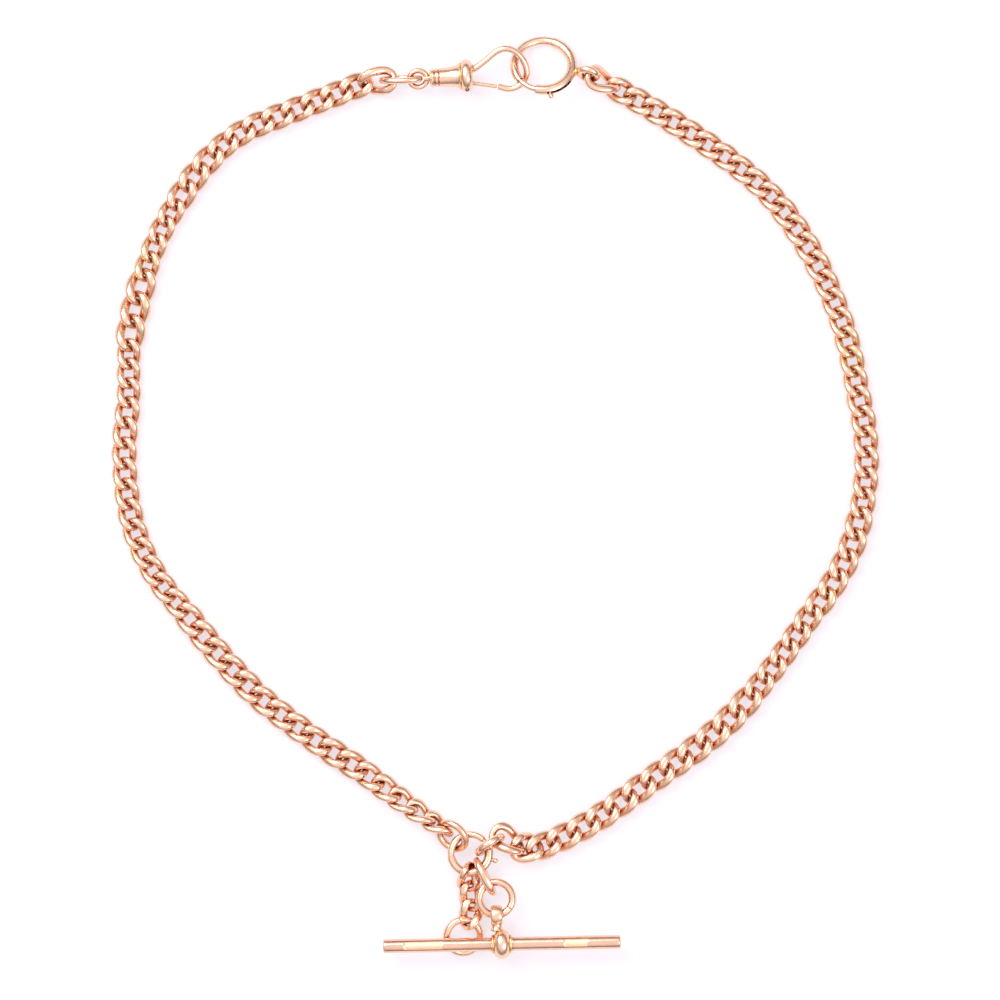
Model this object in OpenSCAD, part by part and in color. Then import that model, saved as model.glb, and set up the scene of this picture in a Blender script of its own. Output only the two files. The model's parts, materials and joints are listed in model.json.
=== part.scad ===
/* [Curb chain] */
// Wire of a curb link
link_wire = 1.22; // [1.1:0.05:1.35]
// Width of a curb link across the chain
link_width = 4.7; // [4.5:0.1:5]
// Distance between neighbouring curb links
link_pitch = 3.65; // [3.55:0.05:3.75]
// Height that the twist lifts each quarter of a curb link
link_twist = 0.8; // [0.75:0.01:0.85]
// Height of the chain's middle above the table
chain_z = 1.5; // [1.45:0.05:1.8]

/* [Jump rings and long links] */
// Wire of the jump rings
ring_wire = 1.22; // [1.1:0.02:1.3]
// Wire of the long links
long_wire = 1.2; // [1.1:0.02:1.26]

/* [T-bar] */
// Length of the bar
bar_l = 38; // [36:0.5:40]
// Diameter of the bar
bar_d = 2.2; // [2:0.05:2.3]
// Diameter of the bead at its middle
bead_d = 4.8; // [4.2:0.1:5]
// Width of the bead along the bar
bead_w = 3.3; // [3:0.1:3.6]

/* [Dog clip] */
// Diameter of the clip's swivel eye
eye_d = 3.7; // [3.6:0.1:4]
// Wire of the swivel eye
eye_wire = 0.9; // [0.8:0.05:0.95]
// Length of the bell-shaped barrel
barrel_l = 4.8; // [4.6:0.1:5]
// Widest diameter of the barrel
barrel_d = 4.2; // [4:0.1:4.4]
// Diameter of the collar
collar_d = 5.3; // [5:0.1:5.4]
// Wire of the hook
hook_wire = 1; // [0.9:0.05:1.1]
// Wire of the gate
gate_wire = 0.7; // [0.6:0.05:0.75]

/* [Bolt rings] */
// Diameter of the big bolt ring to the middle of its tube
bolt_ring_d = 9.3; // [9.2:0.1:9.5]
// Tube of the big bolt ring
bolt_tube = 1.6; // [1.5:0.05:1.65]
// Diameter of the small bolt ring to the middle of its tube
small_ring_d = 6.1; // [6:0.1:6.2]
// Tube of the small bolt ring
small_tube = 1.38; // [1.3:0.02:1.42]

/* [Hidden] */
$fn = 48;

// Height of the T-bar's middle above the table
bar_z = 3.4;
// Height of the clip's axis
clip_z = 3.3;
// Place and tilt of each ring and loose link: its middle, then its turns about X, Y and Z
left_ring_at = [[-6.86, -54.05, 2.48], [45.9, -5.8, -38.3]];
small_ring_at = [[-4, -56.85, 2.75], [2, -6, -42]];
right_ring_at = [[-0.82, -55.45, 3.02], [80.9, -0.4, 33.6]];
right_long_at = [[2.04, -54.74, 2.71], [-37.0, 0.4, -38.3]];
right_end_at = [[5.01, -55.91, 1.95], [-6.6, 18.8, 3.0]];
bar_long_at = [[-1.61, -60.49, 3.06], [93.2, -0.7, -62.5]];
bar_ring_at = [[0.15, -64.06, 3.25], [-2.9, -2.2, 0.2]];
bar_eye_at = [[0.35, -66.7, bar_z], [90, 0, 92]];
drop_1_at = [[-4.32, -60.66, 2.4], [-28.7, 26.7, -88.0]];
drop_2_at = [[-3.86, -63.68, 1.38], [-3.0, 7.9, -85.1]];
drop_3_at = [[-3.86, -66.69, 1.47], [16.6, -7.6, -103.3]];
fob_ring_at = [[-5.05, -70.15, 1.3], [3, 14, -41]];

// Jump rings: outside diameters
left_ring_d = 6.1;
right_ring_d = 5.64;
bar_ring_d = 6.5;
fob_ring_d = 6.6;
fob_wire = 1.2;
// Long links: half length and half width to the middle of the wire, then the twist
right_long = [2.7, 1.8, 0.65];
right_end = [2.3, 1.9, 0.72];
bar_long = [2.85, 1.75, 0];
drop_link = [2.2, 1.45, -0.72];
drop_wire = 0.88;

// T-bar: its middle, its lean in the table's plane, and its eye
bar_lean = 1.1;
bar_from_eye = [0.75, -4.6, 0];
eye_band = 1.9;
bar_eye_r = 1.27;
bar_eye_wire = 0.8;
stem_r = 0.8;
bar_chamfer = 0.25;
bead_lip = 0.35;
bar_core_d = 1.7;

// Where the last left link, the end link, the clip's link and the clip's eye meet
left_top = [-20.6, 66.5, 1.9];
end_join = [-16.9, 66.9, 2.6];
eye_join = [-13.25, 67, clip_z];
end_link = [2.75, 1.8, 0.6];
clip_link_size = [3, 1.5];
clip_link_wire = 1.14;

// Dog clip, along its axis from the middle of its eye
clip_at = [-12.3, 67];
clip_lean = 3.7;
clip_roll = 18;
barrel_from = 1.95;
neck_d = 3;
shank_d = 1.1;
shank_head_d = 2.2;
cavity_d = 2.4;
cavity_from = barrel_from + 1.5;
collar_w = 2;
collar_from = barrel_from + barrel_l;
collar_mid = collar_from + collar_w / 2;
slot_w = 0.9;
pin_d = 0.6;
gate_pivot = [collar_mid, -1.65];
gate_root = [collar_mid + 0.1, -1.1];
gate_tip = [12.5, -2.1];
hook_path = [
    [9.2, 1.15], [10.9, 2.3], [13, 3.8], [14.7, 4], [16.2, 3.1], [17.2, 1.4],
    [17.4, -0.3], [16.7, -1.7], [15.4, -2.5], [14.2, -2.6], [12.95, -2.2],
];

// Bolt rings: angles are turns about the ring's own axis
big_ring_at = [[7.7, 69.2, 3.2], [-30, 0, 0]];
big_wire = 1.36;
big_bore = 1.1;
big_bolt_d = 0.96;
big_r = bolt_ring_d / 2;
big_tube_from = -104;
big_tube_to = 70;
big_socket = 219;
big_travel = 38;
big_nub_at = -78;
big_loop_at = -13;
loop_d = 3.9;
loop_wire = 1.16;
big_link_at = [[17.16, 66.79, 2.67], [-38.2, 31.1, -19.3]];
big_link = [2.8, 1.75, 0.6];
small_r = small_ring_d / 2;
small_bore = 0.9;
small_bolt_d = 0.76;
small_wire = 1.14;
small_tube_from = -52;
small_tube_to = 125;
small_socket = 271;
small_travel = 36;
small_nub_at = -26;
small_stalk = 0.5;
big_stalk = 0.66;
nub_r = 0.42;
socket_depth = 8;

// Half length and half width of a nominal curb link, to the middle of its wire
curb_half_l = (link_pitch + link_wire) / 2 + 0.06;
curb_half_w = (link_width - link_wire) / 2;

// Rise of a rolled link for each degree of its roll
roll_lift = 0.014;

// Side chains: where each run of links starts, then for each run its end, how far it bows to the
// left of the way it goes, its number of links, and how far its first link is rolled, which fades
// out along the run. Some ends are fold or sway lines.
left_start = [-7.7, -53.3];
left_runs = [
    [[-21.4, -43.6], 0.2, 5, 60],
    [[-38.3, -31.4], 0.4, 6],
    [[-49.9, -18.0], 0.3, 5],
    [[-58.0, -4.2], 1.0, 5],
    [[-58.6, 15.3], 1.0, 6],
    [[-58.6, 24.6], 0.0, 3],
    [[-56.1, 35.6], 0.3, 3],
    [[-51.0, 47.0], 0.5, 4],
    [[-44.7, 55.3], 0.4, 3],
    [[-36.3, 60.4], 0.6, 3],
    [[-20.6, 66.5], 0.0, 5],
];
right_start = [6.1, -56.3];
right_runs = [
    [[18.7, -49.8], -0.5, 4],
    [[30.5, -41.4], 0.1, 4],
    [[41.3, -31.4], -0.5, 4],
    [[51.0, -18.0], -0.2, 5],
    [[58.6, -2.4], -1.2, 5],
    [[58.0, 17.1], -1.2, 6],
    [[52.5, 35.6], -0.8, 6],
    [[45.4, 47.0], -0.4, 4],
    [[38.2, 53.6], -0.3, 3],
    [[18.7, 65.9], -0.4, 7],
];

function unit(v) = v / norm(v);

// One loop of round wire lying flat, its long axis along X, twisted by lifting each quarter
module wire_loop(half_l, half_w, twist, wire, rings = 14, sides = 6) {
    function middle(t) = [half_l * cos(t), half_w * sin(t), -twist * sin(2 * t)];
    function heading(t) = unit([-half_l * sin(t), half_w * cos(t), -2 * twist * cos(2 * t)]);
    points = [
        for (i = [0 : rings - 1])
            let (t = 360 * i / rings, across = unit(cross(heading(t), [0, 0, 1])), up = cross(across, heading(t)))
            for (j = [0 : sides - 1])
                let (a = 360 * (j + 0.5) / sides)
                middle(t) + wire / 2 * (cos(a) * across + sin(a) * up)
    ];
    faces = [
        for (i = [0 : rings - 1], j = [0 : sides - 1])
            let (next_i = (i + 1) % rings, next_j = (j + 1) % sides)
            each [
                [i * sides + j, i * sides + next_j, next_i * sides + next_j],
                [i * sides + j, next_i * sides + next_j, next_i * sides + j],
            ]
    ];
    polyhedron(points, faces, convexity = 4);
}

// Puts a link's long axis on the line from one contact point to the next, rolled about it
module between(p, q, roll = 0) {
    run = q - p;
    translate((p + q) / 2)
        rotate([roll, -asin(run[2] / norm(run)), atan2(run[1], run[0])])
        children();
}

module curb_link(pitch) {
    k = pitch / link_pitch;
    wire_loop(curb_half_l * k, curb_half_w * k, link_twist * k, link_wire * k);
}

// Point at part f of the way from p to q along an arc that bows to the left by bow
function arc_point(p, q, bow, f) =
    let (
        chord = norm(q - p),
        along = (q - p) / chord,
        left = [-along[1], along[0]],
        h = abs(bow) < 0.01 ? 0.01 : bow,
        half = 2 * atan(2 * h / chord),
        r = chord / 2 / sin(half),
        a = half * (2 * f - 1)
    )
    (p + q) / 2 + along * r * sin(a) + left * (r * cos(a) - r + h);

function run_start(start, runs, n) = n == 1 ? start : runs[n - 2][0];

module links_of_run(start, runs, n) {
    p = run_start(start, runs, n);
    q = runs[n - 1][0];
    bow = runs[n - 1][1];
    count = runs[n - 1][2];
    for (i = [0 : count - 1]) {
        a = arc_point(p, q, bow, i / count);
        b = arc_point(p, q, bow, (i + 1) / count);
        roll = len(runs[n - 1]) > 3 ? runs[n - 1][3] : 0;
        z = [for (k = [i, i + 1]) chain_z + roll * roll_lift * (1 - k / count)];
        between([a[0], a[1], z[0]], [b[0], b[1], z[1]], roll * (1 - i / count)) curb_link(norm(b - a));
    }
}

module left_links(n) {
    color("#d9a07a") links_of_run(left_start, left_runs, n);
}
module right_links(n) {
    color("#d9a07a") links_of_run(right_start, right_runs, n);
}

// ---- Round wire in rings and arcs ----

module placed(place) {
    translate(place[0]) rotate(place[1]) children();
}

module jump_ring(outer_d, wire) {
    rotate_extrude() translate([(outer_d - wire) / 2, 0]) circle(d = wire);
}

// Part of a ring about Z, from angle a to angle b
module ring_arc(r, wire, a, b) {
    rotate([0, 0, a]) rotate_extrude(angle = b - a) translate([r, 0]) circle(d = wire);
}

// A smooth path through points, a few steps to each span
function spline_at(p, i, f) =
    let (
        n = len(p) - 1,
        a = p[max(i - 1, 0)],
        b = p[i],
        c = p[min(i + 1, n)],
        d = p[min(i + 2, n)]
    )
    b + 0.5 * f * (c - a + f * (2 * a - 5 * b + 4 * c - d + f * (3 * (b - c) + d - a)));

function smooth(p, steps) = concat(
    [for (i = [0 : len(p) - 2], k = [0 : steps - 1]) spline_at(p, i, k / steps)],
    [p[len(p) - 1]]
);

// Round wire swept along an open path, with its ends square to the path
module swept_wire(path, wire, sides, up) {
    last = len(path) - 1;
    points = [
        for (i = [0 : last])
            let (
                heading = unit(path[min(i + 1, last)] - path[max(i - 1, 0)]),
                across = unit(cross(heading, up[min(i, len(up) - 1)])),
                rise = cross(across, heading)
            )
            for (j = [0 : sides - 1])
                path[i] + wire / 2 * (cos(360 * j / sides) * across + sin(360 * j / sides) * rise)
    ];
    walls = [
        for (i = [0 : last - 1], j = [0 : sides - 1])
            let (k = (j + 1) % sides)
            each [
                [i * sides + j, i * sides + k, (i + 1) * sides + k],
                [i * sides + j, (i + 1) * sides + k, (i + 1) * sides + j],
            ]
    ];
    ends = [
        [for (j = [sides - 1 : -1 : 0]) j],
        [for (j = [0 : sides - 1]) last * sides + j],
    ];
    polyhedron(points, concat(walls, ends), convexity = 6);
}

// A coil spring lying along part of a ring, from angle a to angle b
module ring_spring(r, coil_d, wire, turns, a, b) {
    steps = turns * 8;
    path = [
        for (i = [0 : steps])
            let (turn = a + (b - a) * i / steps, wind = 45 * i, out = r + coil_d / 2 * cos(wind))
            [out * cos(turn), out * sin(turn), coil_d / 2 * sin(wind)]
    ];
    up = [
        for (i = [0 : steps])
            let (turn = a + (b - a) * i / steps, wind = 45 * i)
            [cos(wind) * cos(turn), cos(wind) * sin(turn), sin(wind)]
    ];
    swept_wire(path, wire, 4, up);
}

// ---- Bolt rings ----

// A bored tube with a slot for the thumb nub, and a thinner solid wire round to the socket
module bolt_ring_body(r, tube, bore, wire, tube_from, tube_to, socket, slot_from, slot_to, slot) {
    difference() {
        union() {
            ring_arc(r, tube, tube_from, tube_to);
            ring_arc(r, wire, tube_to - 4, socket);
        }
        ring_arc(r, bore, tube_from - 2, tube_to - 8);
        rotate([0, 0, slot_from])
            rotate_extrude(angle = slot_to - slot_from)
                translate([r, -slot / 2])
                    square([tube, slot]);
        ring_arc(r, bore, socket - socket_depth, socket + 2);
    }
}

// The bolt inside the tube, with its thumb nub standing out through the slot
module sliding_bolt(r, wire, from, to, nub_at, reach, stalk) {
    ring_arc(r, wire, from, to);
    rotate([0, 0, nub_at]) translate([r, 0, 0]) rotate([0, 90, 0]) cylinder(d = stalk, h = reach);
    rotate([0, 0, nub_at]) translate([r + reach, 0, 0]) sphere(r = nub_r);
}

module small_bolt_ring() {
    color("#d9a07a") placed(small_ring_at) rotate([180, 0, 0])
        bolt_ring_body(small_r, small_tube, small_bore, small_wire, small_tube_from, small_tube_to,
            small_socket, small_nub_at - 6, small_nub_at + small_travel + 6, small_stalk + 0.14);
}
module small_ring_bolt() {
    color("#c98f68") placed(small_ring_at) rotate([180, 0, 0])
        sliding_bolt(small_r, small_bolt_d, small_socket - 360 - 5, small_nub_at + 12, small_nub_at,
            small_tube / 2 + nub_r + 0.1, small_stalk);
}
module small_ring_spring() {
    color("silver") placed(small_ring_at) rotate([180, 0, 0])
        ring_spring(small_r, 0.6, 0.14, 8, small_nub_at + 14, small_tube_to - 10);
}
module big_bolt_ring() {
    color("#d9a07a") placed(big_ring_at)
        bolt_ring_body(big_r, bolt_tube, big_bore, big_wire, big_tube_from, big_tube_to,
            big_socket, big_nub_at - 5, big_nub_at + big_travel + 5, big_stalk + 0.14);
}
module big_ring_bolt() {
    color("#c98f68") placed(big_ring_at)
        sliding_bolt(big_r, big_bolt_d, big_socket - 360 - 5, big_nub_at + 12, big_nub_at,
            bolt_tube / 2 + nub_r + 0.1, big_stalk);
}
module big_ring_spring() {
    color("silver") placed(big_ring_at)
        ring_spring(big_r, 0.76, 0.16, 10, big_nub_at + 14, big_tube_to - 10);
}
// The small loop soldered outside the big bolt ring, standing across the ring's plane
module big_ring_loop() {
    color("#dfae72") placed(big_ring_at)
        rotate([0, 0, big_loop_at])
            translate([big_r + bolt_tube / 2 + loop_d / 2, 0, 0])
                rotate([90, 0, 0])
                    jump_ring(loop_d, loop_wire);
}

// ---- Centre cluster ----

module left_jump_ring() {
    color("#d9a07a") placed(left_ring_at) jump_ring(left_ring_d, ring_wire);
}
module right_jump_ring() {
    color("#d9a07a") placed(right_ring_at) jump_ring(right_ring_d, long_wire);
}
module right_long_link() {
    color("#d9a07a") placed(right_long_at) wire_loop(right_long[0], right_long[1], right_long[2], long_wire);
}
module right_end_link() {
    color("#d9a07a") placed(right_end_at) wire_loop(right_end[0], right_end[1], right_end[2], long_wire);
}
module bar_long_link() {
    color("#d9a07a") placed(bar_long_at) wire_loop(bar_long[0], bar_long[1], bar_long[2], long_wire);
}
module bar_ring() {
    color("#d9a07a") placed(bar_ring_at) jump_ring(bar_ring_d, ring_wire);
}
module drop_link_1() {
    color("#d9a07a") placed(drop_1_at) wire_loop(drop_link[0], drop_link[1], drop_link[2], drop_wire);
}
module drop_link_2() {
    color("#d9a07a") placed(drop_2_at) wire_loop(drop_link[0], drop_link[1], drop_link[2], drop_wire);
}
module drop_link_3() {
    color("#d9a07a") placed(drop_3_at) wire_loop(drop_link[0], drop_link[1], drop_link[2], drop_wire);
}
module fob_ring() {
    color("#d9a07a") placed(fob_ring_at) jump_ring(fob_ring_d, fob_wire);
}

// ---- T-bar ----

module at_bar() {
    translate(bar_eye_at[0] + bar_from_eye) rotate([0, 0, bar_lean]) children();
}
module t_bar() {
    color("#e0a684") at_bar() rotate([0, 90, 0]) rotate_extrude() polygon([
        [0, -bar_l / 2], [bar_d / 2 - bar_chamfer, -bar_l / 2], [bar_d / 2, -bar_l / 2 + bar_chamfer],
        [bar_d / 2, -bead_w / 2], [bar_core_d / 2, -bead_w / 2], [bar_core_d / 2, bead_w / 2], [bar_d / 2, bead_w / 2],
        [bar_d / 2, bar_l / 2 - bar_chamfer], [bar_d / 2 - bar_chamfer, bar_l / 2], [0, bar_l / 2],
    ]);
}
module bar_bead() {
    color("#dfae72") at_bar() difference() {
        rotate([0, 90, 0]) rotate_extrude() polygon(concat(
            [[bar_core_d / 2, -bead_w / 2], [bar_d / 2 + bead_lip, -bead_w / 2]],
            [for (a = [-80 : 10 : 80]) [bar_d / 2 + (bead_d - bar_d) / 2 * cos(a), (bead_w / 2 - bead_lip) * sin(a)]],
            [[bar_d / 2 + bead_lip, bead_w / 2], [bar_core_d / 2, bead_w / 2]]
        ));
        translate([-bar_from_eye[0], 0, 0]) rotate([-90, 0, 0]) cylinder(r = stem_r, h = bead_d);
    }
}
// A broad band bent into a loop, with a stem down into the bead
module bar_eye() {
    color("#d9a07a") {
        placed(bar_eye_at) rotate_extrude() band_section();
        at_bar() translate([-bar_from_eye[0], 0, 0]) rotate([-90, 0, 0]) translate([0, 0, bar_d / 2 + 0.3])
            cylinder(r = stem_r, h = -bar_from_eye[1] - bar_d / 2 - 0.3 - bar_eye_r);
    }
}
module band_section() {
    translate([bar_eye_r - bar_eye_wire / 2, -(eye_band - bar_eye_wire) / 2])
        square([bar_eye_wire, eye_band - bar_eye_wire]);
    for (s = [-1, 1])
        translate([bar_eye_r, s * (eye_band - bar_eye_wire) / 2]) circle(d = bar_eye_wire);
}

// ---- Dog clip ----

module at_clip() {
    translate([clip_at[0], clip_at[1], clip_z]) rotate([clip_roll, 0, clip_lean]) children();
}
module lathe_x() {
    rotate([0, 90, 0]) rotate_extrude() children();
}
module left_end_link() {
    color("#d9a07a") between(left_top, end_join, 22) wire_loop(end_link[0], end_link[1], end_link[2], long_wire);
}
module clip_link() {
    color("#d9a07a") between(end_join, eye_join, 100) wire_loop(clip_link_size[0], clip_link_size[1], 0, clip_link_wire);
}
// The swivel eye with its shank and the head that holds it inside the barrel
module clip_eye() {
    color("#d9a07a") at_clip() {
        jump_ring(eye_d, eye_wire);
        lathe_x() polygon([
            [0, eye_d / 2 - eye_wire], [shank_d / 2, eye_d / 2 - eye_wire], [shank_d / 2, cavity_from + 0.1],
            [shank_head_d / 2, cavity_from + 0.1], [shank_head_d / 2, cavity_from + 0.9], [0, cavity_from + 0.9],
        ]);
    }
}
module clip_barrel() {
    color("#d9a07a") at_clip() lathe_x() difference() {
        polygon(concat(
            [[0, barrel_from], [neck_d / 2 - 0.2, barrel_from], [neck_d / 2, barrel_from + 0.2],
                [neck_d / 2, barrel_from + 0.5], [neck_d / 2 - 0.25, barrel_from + 0.6],
                [neck_d / 2 - 0.25, barrel_from + 0.75], [neck_d / 2, barrel_from + 0.85],
                [neck_d / 2, barrel_from + 1.2], [neck_d / 2 - 0.2, barrel_from + 1.35]],
            [for (a = [0 : 10 : 90]) [neck_d / 2 + (barrel_d - neck_d) / 2 * (1 - cos(a)),
                barrel_from + 1.55 + (barrel_l - 1.55) * sin(a)]],
            [[0, collar_from]]
        ));
        translate([0, barrel_from - 1]) square([shank_d / 2 + 0.08, barrel_l]);
        translate([0, cavity_from]) square([cavity_d / 2, barrel_l]);
    }
}
// The collar that closes the barrel, slotted for the gate
module clip_collar() {
    color("#dfae72") at_clip() difference() {
        union() {
            lathe_x() translate([0, collar_from]) square([(collar_d - collar_w) / 2, collar_w]);
            lathe_x() translate([(collar_d - collar_w) / 2, collar_mid]) circle(d = collar_w);
            lathe_x() translate([0, collar_from - 1.2]) square([cavity_d / 2, 1.3]);
        }
        translate([collar_from + 0.1, -collar_d, -slot_w / 2]) cube([collar_w, collar_d - 0.35, slot_w]);
        translate([gate_pivot[0], gate_pivot[1], -collar_d]) cylinder(d = pin_d, h = 2 * collar_d);
    }
}
module clip_hook() {
    color("#d9a07a") at_clip()
        swept_wire(
            concat([[collar_from + collar_w + 0.01, 1.15, 0]], [for (p = smooth(hook_path, 3)) [p[0], p[1], 0]]),
            hook_wire, 10, [[0, 0, 1]]
        );
}
module clip_gate() {
    color("#d9a07a") at_clip() difference() {
        union() {
            translate([gate_pivot[0], gate_pivot[1], -gate_wire / 2]) cylinder(r = 0.8, h = gate_wire);
            rod([gate_root[0], gate_root[1], 0], [gate_tip[0], gate_tip[1], 0], gate_wire * 0.96);
        }
        translate([gate_pivot[0], gate_pivot[1], -collar_d]) cylinder(d = pin_d + 0.08, h = 2 * collar_d);
    }
}
module rod(p, q, d) {
    run = q - p;
    translate(p) rotate([0, 90, atan2(run[1], run[0])]) cylinder(d = d, h = norm(run));
}
module clip_gate_pin() {
    color("silver") at_clip() translate([gate_pivot[0], gate_pivot[1], -1.9]) cylinder(d = pin_d, h = 3.8);
}
// A leaf spring in the slot behind the gate
module clip_gate_spring() {
    color("silver") at_clip() translate([collar_from + 0.15, gate_root[1] + gate_wire / 2 + 0.12, -0.3])
        cube([1.6, 0.12, 0.6]);
}
module big_ring_link() {
    color("#d9a07a") placed(big_link_at) wire_loop(big_link[0], big_link[1], big_link[2], long_wire);
}

small_bolt_ring();
small_ring_bolt();
small_ring_spring();
left_jump_ring();
right_jump_ring();
right_long_link();
right_end_link();
bar_long_link();
bar_ring();
bar_eye();
bar_bead();
t_bar();
drop_link_1();
drop_link_2();
drop_link_3();
fob_ring();
left_end_link();
clip_link();
clip_eye();
clip_barrel();
clip_collar();
clip_hook();
clip_gate();
clip_gate_pin();
clip_gate_spring();
big_bolt_ring();
big_ring_loop();
big_ring_bolt();
big_ring_spring();
big_ring_link();
for (i = [1 : len(left_runs)])
    left_links(i);
for (i = [1 : len(right_runs)])
    right_links(i);
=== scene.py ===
import json
import math

import bmesh
import bpy
import numpy as np
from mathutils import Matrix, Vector


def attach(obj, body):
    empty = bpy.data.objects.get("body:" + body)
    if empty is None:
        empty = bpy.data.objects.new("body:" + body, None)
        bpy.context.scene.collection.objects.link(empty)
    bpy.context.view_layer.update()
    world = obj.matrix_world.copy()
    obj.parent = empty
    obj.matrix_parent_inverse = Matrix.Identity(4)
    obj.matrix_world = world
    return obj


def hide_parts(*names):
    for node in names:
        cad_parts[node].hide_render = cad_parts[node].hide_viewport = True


MM = 0.001
UP = np.array([0.0, 0.0, 1.0])

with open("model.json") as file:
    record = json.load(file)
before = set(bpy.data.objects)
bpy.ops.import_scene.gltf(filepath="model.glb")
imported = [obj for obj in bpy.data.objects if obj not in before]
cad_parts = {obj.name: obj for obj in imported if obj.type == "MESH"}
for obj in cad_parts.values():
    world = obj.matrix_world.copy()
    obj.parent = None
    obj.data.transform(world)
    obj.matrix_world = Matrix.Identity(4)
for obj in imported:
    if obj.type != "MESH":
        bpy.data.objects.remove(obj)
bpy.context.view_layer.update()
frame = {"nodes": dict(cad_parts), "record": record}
NODES = frame["nodes"]
BODY_OF = {n: b for b, ns in frame["record"]["behaviour"]["bodies"].items() for n in ns}


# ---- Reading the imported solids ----

def islands(node):
    """The separate closed shells of a CAD node, each as an array of its corner points in mm."""
    bm = bmesh.new()
    bm.from_mesh(NODES[node].data)
    bmesh.ops.remove_doubles(bm, verts=bm.verts, dist=2e-6)
    left, found = set(bm.verts), []
    while left:
        seed = min(left, key=lambda v: v.index)
        stack, shell = [seed], set()
        while stack:
            v = stack.pop()
            if v in shell:
                continue
            shell.add(v)
            stack.extend(e.other_vert(v) for e in v.link_edges)
        left -= shell
        found.append(np.array([v.co[:] for v in sorted(shell, key=lambda v: v.index)]) / MM)
    bm.free()
    return found


def from_cad(node):
    """All corner points of a CAD node in mm."""
    return np.concatenate(islands(node))


def unit(v):
    return v / np.linalg.norm(v)


def own_axes(points):
    """Middle and right-handed axes of a shell, longest first; the third points up."""
    middle = points.mean(0)
    _, vectors = np.linalg.eigh(np.cov((points - middle).T))
    x, z = vectors[:, 2], vectors[:, 0]
    if z[2] < 0:
        z = -z
    return middle, np.array([x, np.cross(z, x), z])


# ---- Mesh builders ----

def new_piece(name, points, faces, node, material, smooth_angle=40, replaced=True):
    """A smooth-shaded piece that rides on a node's body and, if replaced, stands in for the node."""
    mesh = bpy.data.meshes.new(name)
    mesh.from_pydata([tuple(p) for p in np.asarray(points) * MM], [], faces)
    mesh.validate()
    bm = bmesh.new()
    bm.from_mesh(mesh)
    bmesh.ops.recalc_face_normals(bm, faces=bm.faces)
    bm.to_mesh(mesh)
    bm.free()
    mesh.update()
    mesh.shade_smooth()
    mesh.set_sharp_from_angle(angle=math.radians(smooth_angle))
    obj = bpy.data.objects.new(name, mesh)
    bpy.context.scene.collection.objects.link(obj)
    mesh.materials.append(material)
    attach(obj, BODY_OF[node])
    if replaced:
        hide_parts(node)
    return obj


def skin(rings, closed):
    """Faces over rings of corner points, each ring the same length."""
    count, sides = len(rings), len(rings[0])
    faces = []
    for i in range(count if closed else count - 1):
        for j in range(sides):
            k, n = (j + 1) % sides, (i + 1) % count
            faces.append((i * sides + j, i * sides + k, n * sides + k, n * sides + j))
    if not closed:
        faces.append(tuple(range(sides - 1, -1, -1)))
        faces.append(tuple((count - 1) * sides + j for j in range(sides)))
    return np.concatenate(rings), faces


def merged(parts):
    """Points and faces of several meshes as one."""
    points, faces, start = [], [], 0
    for p, f in parts:
        points.append(p)
        faces += [tuple(start + i for i in face) for face in f]
        start += len(p)
    return np.concatenate(points), faces


def across_and_up(heading):
    """Unit vectors to the side of a heading and above it, for every row."""
    across = np.cross(heading, UP)
    across /= np.linalg.norm(across, axis=1)[:, None]
    return across, np.cross(across, heading)


def wire_rings(path, across, up, wide, tall, sides=16):
    """Rings of a round wire along a path, with its own width and height at each point."""
    a = 2 * np.pi * (np.arange(sides) + 0.5) / sides
    return [
        p + w * np.outer(np.cos(a), c) + t * np.outer(np.sin(a), u)
        for p, c, u, w, t in zip(path, across, up, wide, tall)
    ]


SIDE_SHIFT = 0.7
ROUND_WIDE, ROUND_TALL = 0.98, 0.97
WEAR = 0.02
FLAT_FROM, FLAT_KEPT = 0.34, 0.45


def loop_link(half_l, half_w, twist, wire, seed, swell, fat, narrow, steps=56):
    """One worn link about the origin: wider at its sides, flattened on top, a little uneven."""
    rng = np.random.default_rng(seed)
    t = 2 * np.pi * np.arange(steps) / steps
    side = np.sin(t) ** 2
    inner_w = (half_w - wire / 2 * swell * SIDE_SHIFT * side) * np.cos(narrow * np.cos(t))
    path = np.c_[half_l * np.cos(t), inner_w * np.sin(t), -twist * np.sin(2 * t)]
    heading = np.c_[-half_l * np.sin(t), half_w * np.cos(t), -2 * twist * np.cos(2 * t)]
    heading /= np.linalg.norm(heading, axis=1)[:, None]
    across, up = across_and_up(heading)
    wobble = 1 + WEAR * sum(
        rng.normal() * np.cos(k * t + rng.uniform(0, 2 * np.pi)) for k in (1, 2, 3)
    )
    wide = wire / 2 * (ROUND_WIDE + swell * side) * wobble
    tall = wire / 2 * (ROUND_TALL + fat * side) * wobble
    points, faces = skin(wire_rings(path, across, up, wide, tall), closed=True)
    top = abs(twist) + wire * FLAT_FROM
    high = points[:, 2] > top
    points[high, 2] = top + (points[high, 2] - top) * FLAT_KEPT
    return points, faces


def link_cloud(half_l, half_w, twist, wire, rings=14, sides=6):
    """Corner points of the CAD link with these sizes, to compare its spread with a packed one."""
    t = 2 * np.pi * np.arange(rings) / rings
    path = np.c_[half_l * np.cos(t), half_w * np.sin(t), -twist * np.sin(2 * t)]
    heading = np.c_[-half_l * np.sin(t), half_w * np.cos(t), -2 * twist * np.cos(2 * t)]
    heading /= np.linalg.norm(heading, axis=1)[:, None]
    across, up = across_and_up(heading)
    w = np.full(rings, wire / 2)
    return np.concatenate(wire_rings(path, across, up, w, w, sides))


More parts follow.
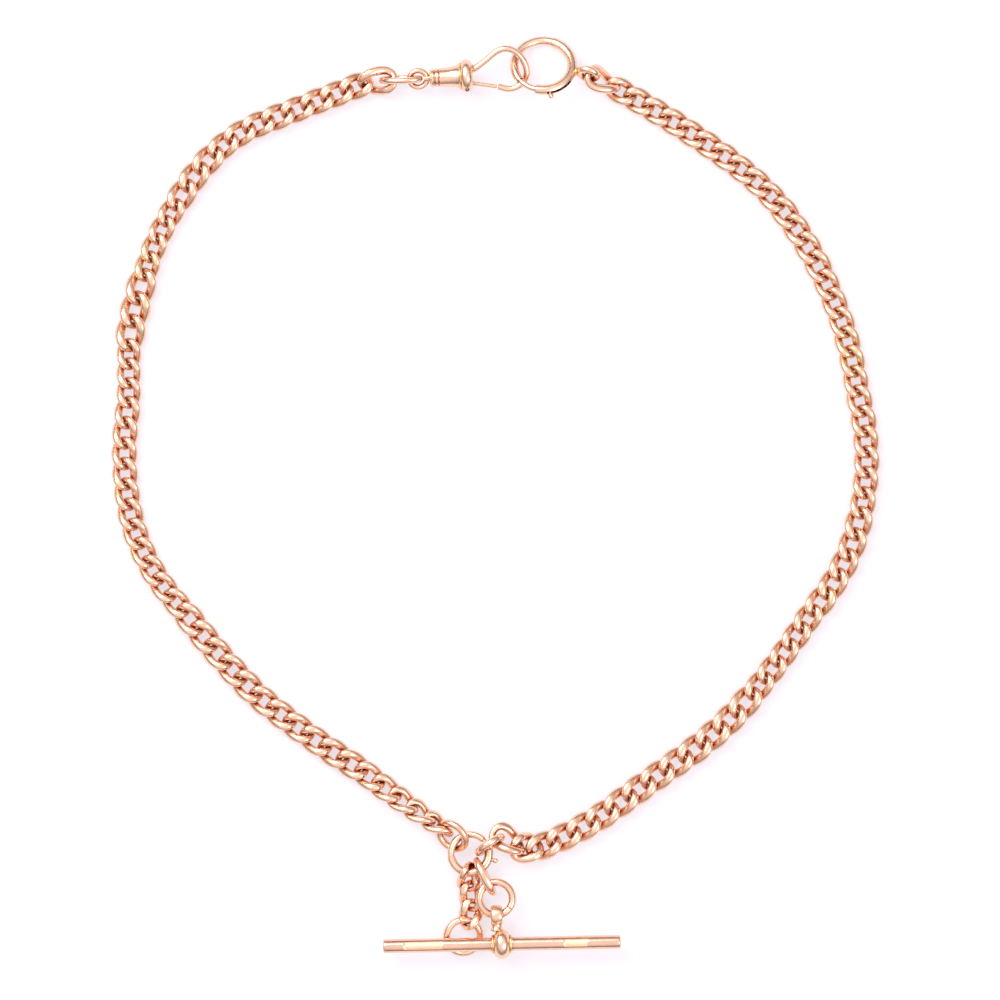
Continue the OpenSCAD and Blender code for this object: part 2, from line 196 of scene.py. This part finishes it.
def links_piece(name, node, size, material, seed, swell=0.30, fat=0.05, narrow=0.0):
    """Fine links in the place of each faceted link of a node."""
    spread = np.trace(np.cov(link_cloud(*size).T))
    parts = []
    for i, shell in enumerate(islands(node)):
        middle, axes = own_axes(shell)
        k = math.sqrt(np.trace(np.cov(shell.T)) / spread)
        points, faces = loop_link(*[k * s for s in size], seed + i, swell, fat, narrow)
        parts.append((middle + points @ axes, faces))
    points, faces = merged(parts)
    return new_piece(name, points, faces, node, material)


def ring_place(node):
    """Middle, axes, mean radius and wire of a packed ring of round wire."""
    points = from_cad(node)
    middle, axes = own_axes(points)
    local = (points - middle) @ axes.T
    lo, hi = local.min(0), local.max(0)
    middle = middle + ((lo + hi) / 2) @ axes
    wire = hi[2] - lo[2]
    return middle, axes, (hi[0] - lo[0] + hi[1] - lo[1]) / 4 - wire / 2, wire


RING_ROUND, RING_WEAR = 0.995, 0.008
SEAM_SIDE, SEAM_FLOOR = 0.475, 0.44


def ring_piece(name, node, seam_at, material, gap=0.05):
    """A jump ring with the fine cut where it was closed, on the side nearest a given point."""
    middle, axes, r, wire = ring_place(node)
    aim = axes @ (np.array(seam_at) - middle)
    seam = math.atan2(aim[1], aim[0])
    steps = 96
    t = list(np.linspace(seam + gap / r, seam + 2 * np.pi - gap / r, steps))
    radius = [wire / 2 * (RING_ROUND + RING_WEAR * math.cos(3 * a)) for a in t]
    t += [t[-1] + 0.5 * gap / r, t[-1] + gap / r, t[-1] + 1.5 * gap / r]
    radius += [wire * SEAM_SIDE, wire * SEAM_FLOOR, wire * SEAM_SIDE]
    t, radius = np.array(t), np.array(radius)
    path = np.c_[r * np.cos(t), r * np.sin(t), 0 * t]
    across = np.c_[np.cos(t), np.sin(t), 0 * t]
    up = np.tile(UP, (len(t), 1))
    points, faces = skin(wire_rings(path, across, up, radius, radius, 24), closed=True)
    return new_piece(name, middle + points @ axes, faces, node, material, smooth_angle=60)


def lathe(profile, segments=72):
    """A solid turned about X from (x, radius) points; a radius of 0 closes it to a point."""
    a = 2 * np.pi * np.arange(segments) / segments
    rings = [
        np.c_[np.full(segments, x), max(r, 1e-4) * np.cos(a), max(r, 1e-4) * np.sin(a)]
        for x, r in profile
    ]
    return skin(rings, closed=False)


def ball(middle, axes, half, seed, lumps=0.06, steps=(20, 28)):
    """A slightly lumpy blob with its own half sizes."""
    rng = np.random.default_rng(seed)
    phase = rng.uniform(0, 2 * np.pi, 4)
    rings = []
    pole = 0.02
    for u in np.linspace(pole, np.pi - pole, steps[0]):
        a = 2 * np.pi * np.arange(steps[1]) / steps[1]
        r = 1 + lumps * (np.cos(2 * a + phase[0]) * np.sin(3 * u + phase[1])
                         + np.cos(3 * a + phase[2]) * np.sin(2 * u + phase[3]))
        rings.append(np.c_[np.full(len(a), math.cos(u)) * half[0],
                           r * np.sin(u) * np.cos(a) * half[1], r * np.sin(u) * np.sin(a) * half[2]])
    points, faces = skin(rings, closed=False)
    return middle + points @ axes, faces


def torus(middle, axes, r, wire, steps=72, sides=14):
    """A plain ring of round wire about the first of the given axes."""
    t = 2 * np.pi * np.arange(steps) / steps
    path = np.c_[0 * t, r * np.cos(t), r * np.sin(t)]
    out = path / r
    along = np.tile(np.array([1.0, 0, 0]), (steps, 1))
    half = np.full(steps, wire / 2)
    points, faces = skin(wire_rings(path, out, along, half, half, sides), closed=True)
    return middle + points @ axes, faces


def smooth_path(points, steps):
    """A curve through the given points, with steps places between each two."""
    p = [np.array(q, float) for q in points]
    p = [2 * p[0] - p[1]] + p + [2 * p[-1] - p[-2]]
    out = []
    for i in range(1, len(p) - 2):
        for k in range(steps):
            f = k / steps
            a, b, c, d = p[i - 1:i + 3]
            out.append(0.5 * (2 * b + (c - a) * f + (2 * a - 5 * b + 4 * c - d) * f * f
                              + (3 * b - 3 * c + d - a) * f ** 3))
    return np.array(out + [p[-2]])


def euler(rx, ry, rz):
    """Rotation matrix for turns in degrees about X, then Y, then Z."""
    x, y, z = (math.radians(v) for v in (rx, ry, rz))
    cx, sx, cy, sy, cz, sz = (f(v) for v in (x, y, z) for f in (math.cos, math.sin))
    mx = np.array([[1, 0, 0], [0, cx, -sx], [0, sx, cx]])
    my = np.array([[cy, 0, sy], [0, 1, 0], [-sy, 0, cy]])
    mz = np.array([[cz, -sz, 0], [sz, cz, 0], [0, 0, 1]])
    return mz @ my @ mx


# ---- Materials ----

BLOTCHES, SPOTS, SCRATCHES, GRAIN, DENTS = 260, 150, 900, 2600, 700
STREAK, STREAK_TURN = (1.0, 9.0, 2.0), (0.3, 0.2, 0.9)
PALER = 1.10
# Painted shade: how far ambient occlusion looks for surfaces that hem a point in
PAINTED_SHADE_REACH = 1.1 * MM
DENT_DEPTH, SCRATCH_DEPTH = 0.08 * MM, 0.015 * MM
SCRATCH_SHARE = 0.3


def gold(name, light, painted_shade_colour, rough, patch=None, patch_amount=0.0, bump=0.25, painted_shade_fade=(0.22, 0.95, 1.0)):
    """Worn gold: uneven colour, painted shade mixed in by ambient occlusion in the recesses, fine
    scratches and small dents.

    rough is the range of the roughness. The last argument says from which to which openness the painted
    shade colour fades out, and how strong it is at first.
    """
    mat = bpy.data.materials.new(name)
    mat.use_nodes = True
    nodes, links = mat.node_tree.nodes, mat.node_tree.links
    shader = nodes["Principled BSDF"]
    shader.inputs["Metallic"].default_value = 1.0
    where = nodes.new("ShaderNodeTexCoord")

    def noise(scale, detail, stretch=None):
        n = nodes.new("ShaderNodeTexNoise")
        n.inputs["Scale"].default_value = scale
        n.inputs["Detail"].default_value = detail
        source = where.outputs["Object"]
        if stretch:
            m = nodes.new("ShaderNodeMapping")
            m.inputs["Scale"].default_value = stretch
            m.inputs["Rotation"].default_value = STREAK_TURN
            links.new(source, m.inputs["Vector"])
            source = m.outputs["Vector"]
        links.new(source, n.inputs["Vector"])
        return n

    def ramp(source, low, high, a=(0, 0, 0, 1), b=(1, 1, 1, 1)):
        r = nodes.new("ShaderNodeValToRGB")
        r.color_ramp.elements[0].position = low
        r.color_ramp.elements[0].color = a
        r.color_ramp.elements[1].position = high
        r.color_ramp.elements[1].color = b
        links.new(source, r.inputs["Fac"])
        return r.outputs["Color"]

    def mix(factor, a, b):
        m = nodes.new("ShaderNodeMix")
        m.data_type = "RGBA"
        for socket, value in ((m.inputs[0], factor), (m.inputs[6], a), (m.inputs[7], b)):
            if isinstance(value, (tuple, float)):
                socket.default_value = value
            else:
                links.new(value, socket)
        return m.outputs[2]

    blotch = noise(BLOTCHES, 4.0)
    pale = tuple(min(1.0, c * PALER) for c in light[:3]) + (1,)
    colour = mix(ramp(blotch.outputs["Fac"], 0.35, 0.7), light, pale)
    if patch:
        spots = noise(SPOTS, 2.0)
        colour = mix(ramp(spots.outputs["Fac"], 0.66 - patch_amount, 0.74 - patch_amount), colour, patch)
    # Painted shade: ambient occlusion mixes the darker colour into the base colour in recesses and where
    # parts crowd each other
    shade = nodes.new("ShaderNodeAmbientOcclusion")
    shade.samples = 8
    shade.inputs["Distance"].default_value = PAINTED_SHADE_REACH
    low, high, amount = painted_shade_fade
    painted_shade_mask = ramp(shade.outputs["AO"], low, high, (amount,) * 3 + (1,), (0, 0, 0, 1))
    links.new(mix(painted_shade_mask, colour, painted_shade_colour), shader.inputs["Base Color"])

    scratch = noise(SCRATCHES, 2.0, stretch=STREAK)
    grain = noise(GRAIN, 2.0)
    rough_low, rough_high = rough
    links.new(
        ramp(scratch.outputs["Fac"], 0.3, 0.75, (rough_low,) * 3 + (1,), (rough_high,) * 3 + (1,)),
        shader.inputs["Roughness"],
    )
    dents = noise(DENTS, 2.0)
    first = nodes.new("ShaderNodeBump")
    first.inputs["Strength"].default_value = bump
    first.inputs["Distance"].default_value = DENT_DEPTH
    links.new(dents.outputs["Fac"], first.inputs["Height"])
    second = nodes.new("ShaderNodeBump")
    second.inputs["Strength"].default_value = bump * SCRATCH_SHARE
    second.inputs["Distance"].default_value = SCRATCH_DEPTH
    links.new(mix(0.5, scratch.outputs["Color"], grain.outputs["Color"]), second.inputs["Height"])
    links.new(first.outputs["Normal"], second.inputs["Normal"])
    links.new(second.outputs["Normal"], shader.inputs["Normal"])
    return mat


# Metal colours; each darker partner colour is painted shade for that metal's recesses and the places
# between parts
ROSE = (0.97, 0.60, 0.425, 1)
ROSE_PAINTED_SHADE = (0.56, 0.215, 0.105, 1)
YELLOW = (0.98, 0.69, 0.33, 1)
YELLOW_PAINTED_SHADE = (0.72, 0.40, 0.13, 1)
ORANGE = (0.96, 0.66, 0.40, 1)
BODY_ROSE = (0.97, 0.625, 0.45, 1)
BAR_ROSE, BAR_PAINTED_SHADE = (0.91, 0.57, 0.42, 1), (0.56, 0.27, 0.17, 1)
PANEL, PANEL_PAINTED_SHADE = (0.97, 0.73, 0.50, 1), (0.80, 0.48, 0.22, 1)
RIM, RIM_PAINTED_SHADE = (0.90, 0.52, 0.25, 1), (0.60, 0.30, 0.12, 1)
# Near-black painted shade for the bolts where the rings' slots hide them, and how it fades
SLOT_PAINTED_SHADE, SLOT_PAINTED_SHADE_FADE = (0.035, 0.018, 0.012, 1), (0.45, 0.82, 1.0)
# Near-black painted shade for the groove round the clip's rivet
RIVET_GROOVE_PAINTED_SHADE, RIVET_GROOVE_PAINTED_SHADE_CORE = (0.10, 0.06, 0.05, 1), (0.03, 0.02, 0.02, 1)
STEEL, STEEL_PAINTED_SHADE = (0.55, 0.54, 0.53, 1), (0.20, 0.19, 0.18, 1)

links_gold = gold("curb_link_gold", ROSE, ROSE_PAINTED_SHADE, (0.24, 0.36), ORANGE, 0.05, bump=0.22)
ring_gold = gold("ring_gold", ROSE, ROSE_PAINTED_SHADE, (0.20, 0.32))
body_gold = gold("clasp_gold", BODY_ROSE, ROSE_PAINTED_SHADE, (0.18, 0.38))
bar_gold = gold("bar_gold", BAR_ROSE, BAR_PAINTED_SHADE, (0.16, 0.28))
solder = gold("yellow_solder", YELLOW, YELLOW_PAINTED_SHADE, (0.22, 0.42), bump=0.5)
panel_gold = gold("panel_gold", PANEL, PANEL_PAINTED_SHADE, (0.36, 0.52), bump=0.5)
rim_gold = gold("panel_rim_gold", RIM, RIM_PAINTED_SHADE, (0.30, 0.42), bump=0.3)
# Bolts: rose gold with near-black painted shade wherever the rings hem them in
slot_painted_shade_gold = gold("bolt_gold_painted_slot_shade", ROSE, SLOT_PAINTED_SHADE, (0.22, 0.36), painted_shade_fade=SLOT_PAINTED_SHADE_FADE)
rivet_groove_painted_shade_material = gold("painted_rivet_groove_shade", RIVET_GROOVE_PAINTED_SHADE, RIVET_GROOVE_PAINTED_SHADE_CORE, (0.35, 0.5))
steel = gold("spring_steel", STEEL, STEEL_PAINTED_SHADE, (0.25, 0.45))


# ---- Side chains and loose links ----

# Half length and half width of the wire's middle line, twist and wire, all in mm
CURB_PITCH, CURB_WIDTH, CURB_WIRE, CURB_TWIST, CURB_SLACK = 3.65, 4.7, 1.22, 0.8, 0.06
CURB = ((CURB_PITCH + CURB_WIRE) / 2 + CURB_SLACK, (CURB_WIDTH - CURB_WIRE) / 2, CURB_TWIST, CURB_WIRE)
CURB_NARROW = math.radians(30)
LOOSE = {
    "left_end_link": (2.75, 1.8, 0.6, 1.2),
    "clip_link": (3.0, 1.5, 0.0, 1.14),
    "right_long_link": (2.7, 1.8, 0.65, 1.2),
    "right_end_link": (2.3, 1.9, 0.72, 1.2),
    "bar_long_link": (2.85, 1.75, 0.0, 1.2),
    "big_ring_link": (2.8, 1.75, 0.6, 1.2),
    "drop_link_1": (2.2, 1.45, -0.72, 0.88),
    "drop_link_2": (2.2, 1.45, -0.72, 0.88),
    "drop_link_3": (2.2, 1.45, -0.72, 0.88),
}
# How much wider and taller the wire is at a link's sides
SOME_FULLER = (0.24, 0.10)
FULLER = {
    "bar_long_link": (0.30, 0.36),
    "clip_link": (0.10, 0.04),
    "drop_link_1": (0.66, 0.40),
    "drop_link_2": (0.66, 0.46),
    "drop_link_3": (0.66, 0.46),
}
for number, node in enumerate(sorted(n for n in NODES if "_links_" in n)):
    chain = links_piece("fine_" + node, node, CURB, links_gold, 100 * number, narrow=CURB_NARROW)
for number, node in enumerate(sorted(LOOSE)):
    swell, fat = FULLER.get(node, SOME_FULLER)
    link = links_piece("fine_" + node, node, LOOSE[node], ring_gold, 7000 + number, swell, fat)


# ---- Jump rings, each with its cut nearest to the point given ----

SEAMS = {
    "left_jump_ring": (-9.0, -52.0, 1.0),
    "right_jump_ring": (0.6, -53.5, 5.0),
    "bar_ring": (3.0, -66.0, 3.0),
    "fob_ring": (-5.6, -67.5, 2.0),
}
for node, seam in SEAMS.items():
    ring_piece("cut_" + node, node, seam, ring_gold)


# ---- T-bar ----

# Each panel's middle along the bar, half length and half width
PANELS = [(-12.54, 3.12, 0.62), (11.86, 1.92, 0.60)]
PANEL_DEPTH, PANEL_SLOPE, PANEL_ROUND = 0.085, 0.14, 0.35
FLOOR_FROM, RIM_FROM = 0.75, 0.02
BAR_R, BAR_EASE = 1.1, 0.3


def bar_mesh(length, r, panels, steps=300, sides=120):
    """A round bar with eased ends and shallow blank panels let into its top.

    Also returns each face's material: 0 for the bar, 1 for a panel's floor and 2 for its rim.
    """
    ease = BAR_EASE
    x = np.r_[-length / 2 + ease * (1 - np.cos(np.linspace(0, np.pi / 2, 7))),
              np.linspace(-length / 2 + ease, length / 2 - ease, steps)[1:-1],
              length / 2 - ease * (1 - np.cos(np.linspace(np.pi / 2, 0, 7)))]
    a = np.pi * (2 * np.arange(sides) / sides - 1)
    rings, inside = [], []
    for v in x:
        end = max(0.0, abs(v) - (length / 2 - ease)) / ease
        rim = r - ease + ease * math.sqrt(max(0.0, 1 - end * end))
        depth = np.zeros(sides)
        for middle, half_l, half_w in panels:
            past_end = np.full(sides, abs(v - middle) - half_l + PANEL_ROUND)
            past_side = abs(a) * r - half_w + PANEL_ROUND
            d = np.c_[past_end, past_side]
            sdf = np.linalg.norm(np.maximum(d, 0), axis=1) + np.minimum(d.max(1), 0) - PANEL_ROUND
            depth = np.maximum(depth, np.clip(-sdf / PANEL_SLOPE, 0, 1))
        radius = rim - PANEL_DEPTH * depth * depth * (3 - 2 * depth)
        rings.append(np.c_[np.full(sides, v), radius * np.sin(a), radius * np.cos(a)])
        inside.append(np.where(depth > FLOOR_FROM, 1, np.where(depth > RIM_FROM, 2, 0)))
    points, faces = skin(rings, closed=False)
    skins = [int(inside[i][j]) for i in range(len(rings) - 1) for j in range(sides)] + [0, 0]
    return points, faces, skins


bar_points = from_cad("t_bar")
bar_middle = (bar_points.min(0) + bar_points.max(0)) / 2
_, bar_axes = own_axes(bar_points)
bar_x = unit(bar_axes[0] * np.sign(bar_axes[0][0]))
bar_up = unit(UP - bar_x * (UP @ bar_x))
BAR = np.array([bar_x, np.cross(bar_up, bar_x), bar_up])
reach = (bar_points - bar_middle) @ bar_x
points, faces, marked = bar_mesh(reach.max() - reach.min(), BAR_R, PANELS)
t_bar = new_piece("panelled_bar", bar_middle + points @ BAR, faces, "t_bar", bar_gold, smooth_angle=35)
t_bar.data.materials.append(panel_gold)
t_bar.data.materials.append(rim_gold)
for polygon, index in zip(t_bar.data.polygons, marked):
    polygon.material_index = index

COLLAR_FROM_MIDDLE, COLLAR_R, COLLAR_WIRE = 1.42, 1.32, 0.42
for side in (-1, 1):
    collar = torus(bar_middle + BAR[0] * side * COLLAR_FROM_MIDDLE, BAR, COLLAR_R, COLLAR_WIRE)
    ring = new_piece("bead_collar_%d" % (side + 2), *collar, "bar_bead", solder, replaced=False)


# ---- T-bar's eye: a bent strap, its stem and the foot that is soldered to the bead ----

EYE_R, STRAP_HALF_THICK, STRAP_HALF_WIDE, STRAP_SQUARE = 1.27, 0.40, 0.93, 0.72
EYE_ALONG, EYE_FROM_BAR = -0.75, 4.6
STEM_PROFILE = [
    (2.05, 0.80), (2.25, 0.98), (2.42, 0.96), (2.62, 0.80), (2.95, 0.80), (3.3, 0.90),
    (3.55, 0.90),
]
FOOT_AT, FOOT_R, FOOT_WIRE = 2.27, 0.93, 0.22
STEM = np.array([BAR[1], -BAR[0], BAR[2]])


def plump(v):
    """Pushes a circle's coordinates outwards to a rounded square."""
    return np.sign(v) * np.abs(v) ** STRAP_SQUARE


def strap_ring(steps=72, sides=28):
    """A ring bent from a broad strap with rounded edges."""
    t = 2 * np.pi * np.arange(steps) / steps
    round_eye = np.c_[EYE_R * np.cos(t), 0 * t, EYE_R * np.sin(t)]
    sideways = np.tile(np.array([0, 1.0, 0]), (steps, 1))
    a = 2 * np.pi * (np.arange(sides) + 0.5) / sides
    thick, wide = STRAP_HALF_THICK * plump(np.cos(a)), STRAP_HALF_WIDE * plump(np.sin(a))
    strap = [
        p + np.outer(thick, c) + np.outer(wide, u)
        for p, c, u in zip(round_eye, round_eye / EYE_R, sideways)
    ]
    return skin(strap, closed=True)


ring_points, ring_faces = strap_ring()
stem_points, stem_faces = lathe(STEM_PROFILE, 48)
eye_middle = bar_middle + np.array([EYE_ALONG, EYE_FROM_BAR, 0.0]) @ BAR
stem_foot = bar_middle + np.array([EYE_ALONG, 0.0, 0.0]) @ BAR
points, faces = merged([
    (eye_middle + ring_points @ STEM, ring_faces),
    (stem_foot + stem_points @ STEM, stem_faces),
])
new_piece("strap_eye", points, faces, "bar_eye", body_gold, smooth_angle=50)
foot_ring = torus(stem_foot + np.array([0.0, FOOT_AT, 0.0]) @ BAR, STEM, FOOT_R, FOOT_WIRE)
new_piece("eye_solder", *foot_ring, "bar_eye", solder, replaced=False)


# ---- Clip, with a smooth hook and its solder ----

CLIP_AT = np.array([-12.3, 67.0, 3.3])
CLIP = euler(18, 0, 3.7).T
# The hook's middle line, from the collar round to the gate, and its wire, which tapers at the tip
HOOK = [
    (8.76, 1.15), (9.2, 1.15), (10.9, 2.3), (13, 3.8), (14.7, 4), (16.2, 3.1),
    (17.2, 1.4), (17.4, -0.3), (16.7, -1.7), (15.4, -2.5), (14.2, -2.6),
    (12.95, -2.2), (12.7, -2.14),
]
HOOK_HALF, HOOK_TIP, HOOK_FLAT = 0.53, [0.51, 0.49, 0.46, 0.40], 0.97
NECK_SOLDER = [(1.88, 0.62), (1.90, 1.10), (1.98, 1.36), (2.12, 1.42), (2.18, 1.0)]
BELL_SOLDER = [(6.60, 2.0), (6.66, 2.16), (6.76, 2.20), (6.86, 2.14)]
HOOK_SOLDER = [(8.60, 0.62), (8.80, 0.70), (8.90, 0.66), (9.0, 0.56)]
HOOK_ROOT = (0, 1.15, 0)
RIVET_AT, RIVET_R, RIVET_WIRE = [7.75, -1.65, 2.03], 0.30, 0.13

hook = smooth_path([(x, y, 0) for x, y in HOOK], 10)
turn = np.gradient(hook, axis=0)
turn /= np.linalg.norm(turn, axis=1)[:, None]
across = np.cross(turn, UP)
half = np.full(len(hook), HOOK_HALF)
half[-len(HOOK_TIP):] = HOOK_TIP
up = np.tile(UP, (len(hook), 1))
points, faces = skin(wire_rings(hook, across, up, half, half * HOOK_FLAT, 24), closed=False)
new_piece("smooth_hook", CLIP_AT + points @ CLIP, faces, "clip_hook", body_gold)


def solder_on_clip(name, profile, node, centre=(0, 0, 0), segments=72):
    """A turned bead of solder round the clip's axis, or round a line beside it."""
    points, faces = lathe(profile, segments)
    piece = new_piece(name, CLIP_AT + (points + centre) @ CLIP, faces, node, solder, replaced=False)


solder_on_clip("neck_solder", NECK_SOLDER, "clip_barrel")
# A thin near-black ring round the rivet: painted shade in the groove about its head
rivet_shade_ring = torus(CLIP_AT + np.array(RIVET_AT) @ CLIP, CLIP[[2, 0, 1]], RIVET_R, RIVET_WIRE, 40)
new_piece("painted_rivet_shade_ring", *rivet_shade_ring, "clip_collar", rivet_groove_painted_shade_material, replaced=False)
solder_on_clip("bell_solder", BELL_SOLDER, "clip_barrel")
solder_on_clip("hook_solder", HOOK_SOLDER, "clip_hook", HOOK_ROOT, 40)


# ---- Solder between the big bolt ring and its loop ----

RING_AT = np.array([7.7, 69.2, 3.2])
RING = (euler(-30, 0, 0) @ euler(0, 0, -13)).T
LOOP_SOLDER_AT, LOOP_SOLDER_HALF, LOOP_SOLDER_SEED = [5.43, 0.05, 0.0], (0.42, 0.80, 0.86), 5
blob = ball(RING_AT + np.array(LOOP_SOLDER_AT) @ RING, RING, LOOP_SOLDER_HALF, LOOP_SOLDER_SEED)
new_piece("loop_solder", *blob, "big_ring_loop", solder, replaced=False)


# ---- Carried-over solids ----

CARRIED_OVER = [
    (body_gold, ("small_bolt_ring", "big_bolt_ring", "clip_eye", "clip_barrel", "clip_collar",
                 "clip_gate", "bar_bead", "big_ring_loop")),
    (slot_painted_shade_gold, ("small_ring_bolt", "big_ring_bolt")),
    (steel, ("big_ring_spring", "small_ring_spring", "clip_gate_spring", "clip_gate_pin")),
]
for material, carried in CARRIED_OVER:
    for node in carried:
        NODES[node].data.materials.clear()
        NODES[node].data.materials.append(material)


# ---- Floor ----

floor_mesh = bpy.data.meshes.new("floor")
floor_mesh.from_pydata([(-1, -1, 0), (1, -1, 0), (1, 1, 0), (-1, 1, 0)], [], [(0, 1, 2, 3)])
floor = bpy.data.objects.new("floor", floor_mesh)
bpy.context.scene.collection.objects.link(floor)
paper = bpy.data.materials.new("white_paper")
paper.use_nodes = True
paper_shader = paper.node_tree.nodes["Principled BSDF"]
paper_shader.inputs["Base Color"].default_value = (0.32, 0.31, 0.325, 1)
paper_shader.inputs["Roughness"].default_value = 0.9
paper_shader.inputs["Specular IOR Level"].default_value = 0.1
paper_shader.inputs["Emission Color"].default_value = (1.0, 0.95, 1.0, 1)
paper_shader.inputs["Emission Strength"].default_value = 0.66
floor_mesh.materials.append(paper)


# ---- Light and camera ----

world = bpy.data.worlds.new("studio")
bpy.context.scene.world = world
world.use_nodes = True
world_nodes, world_links = world.node_tree.nodes, world.node_tree.links
sky = world_nodes["Background"]
direction = world_nodes.new("ShaderNodeTexCoord")
height = world_nodes.new("ShaderNodeSeparateXYZ")
tone = world_nodes.new("ShaderNodeValToRGB")
tone.color_ramp.elements[0].position = 0.10
tone.color_ramp.elements[0].color = (0.10, 0.08, 0.08, 1)
tone.color_ramp.elements[1].position = 0.78
tone.color_ramp.elements[1].color = (0.98, 0.97, 1.0, 1)
world_links.new(direction.outputs["Generated"], height.inputs["Vector"])
world_links.new(height.outputs["Z"], tone.inputs["Fac"])
world_links.new(tone.outputs["Color"], sky.inputs["Color"])
sky.inputs["Strength"].default_value = 1.0


def softbox(name, place, size, watts, colour=(1, 1, 1)):
    """A rectangular light that faces the origin."""
    data = bpy.data.lights.new(name, "AREA")
    data.shape = "RECTANGLE"
    data.size, data.size_y = size
    data.energy = watts
    data.color = colour
    lamp = bpy.data.objects.new(name, data)
    bpy.context.scene.collection.objects.link(lamp)
    lamp.location = place
    lamp.rotation_euler = (-Vector(place)).to_track_quat("-Z", "Y").to_euler()


softbox("key", (-0.32, 0.36, 0.55), (0.50, 0.50), 4.5, (1.0, 0.98, 0.95))
softbox("fill", (0.45, -0.25, 0.6), (0.4, 0.4), 1.6, (0.95, 0.94, 1.0))

SPAN, LENS, SENSOR, LIFT = 0.160, 350.0, 36.0, 0.002
PICTURE_MIDDLE = (0.0008, -0.00032)
camera_data = bpy.data.cameras.new("camera")
camera_data.lens = LENS
camera_data.sensor_width = SENSOR
camera_data.clip_start, camera_data.clip_end = 0.01, 10.0
camera = bpy.data.objects.new("camera", camera_data)
bpy.context.scene.collection.objects.link(camera)
camera.location = (*PICTURE_MIDDLE, SPAN * LENS / SENSOR + LIFT)
bpy.context.scene.camera = camera
bpy.context.scene.view_settings.view_transform = "Standard"
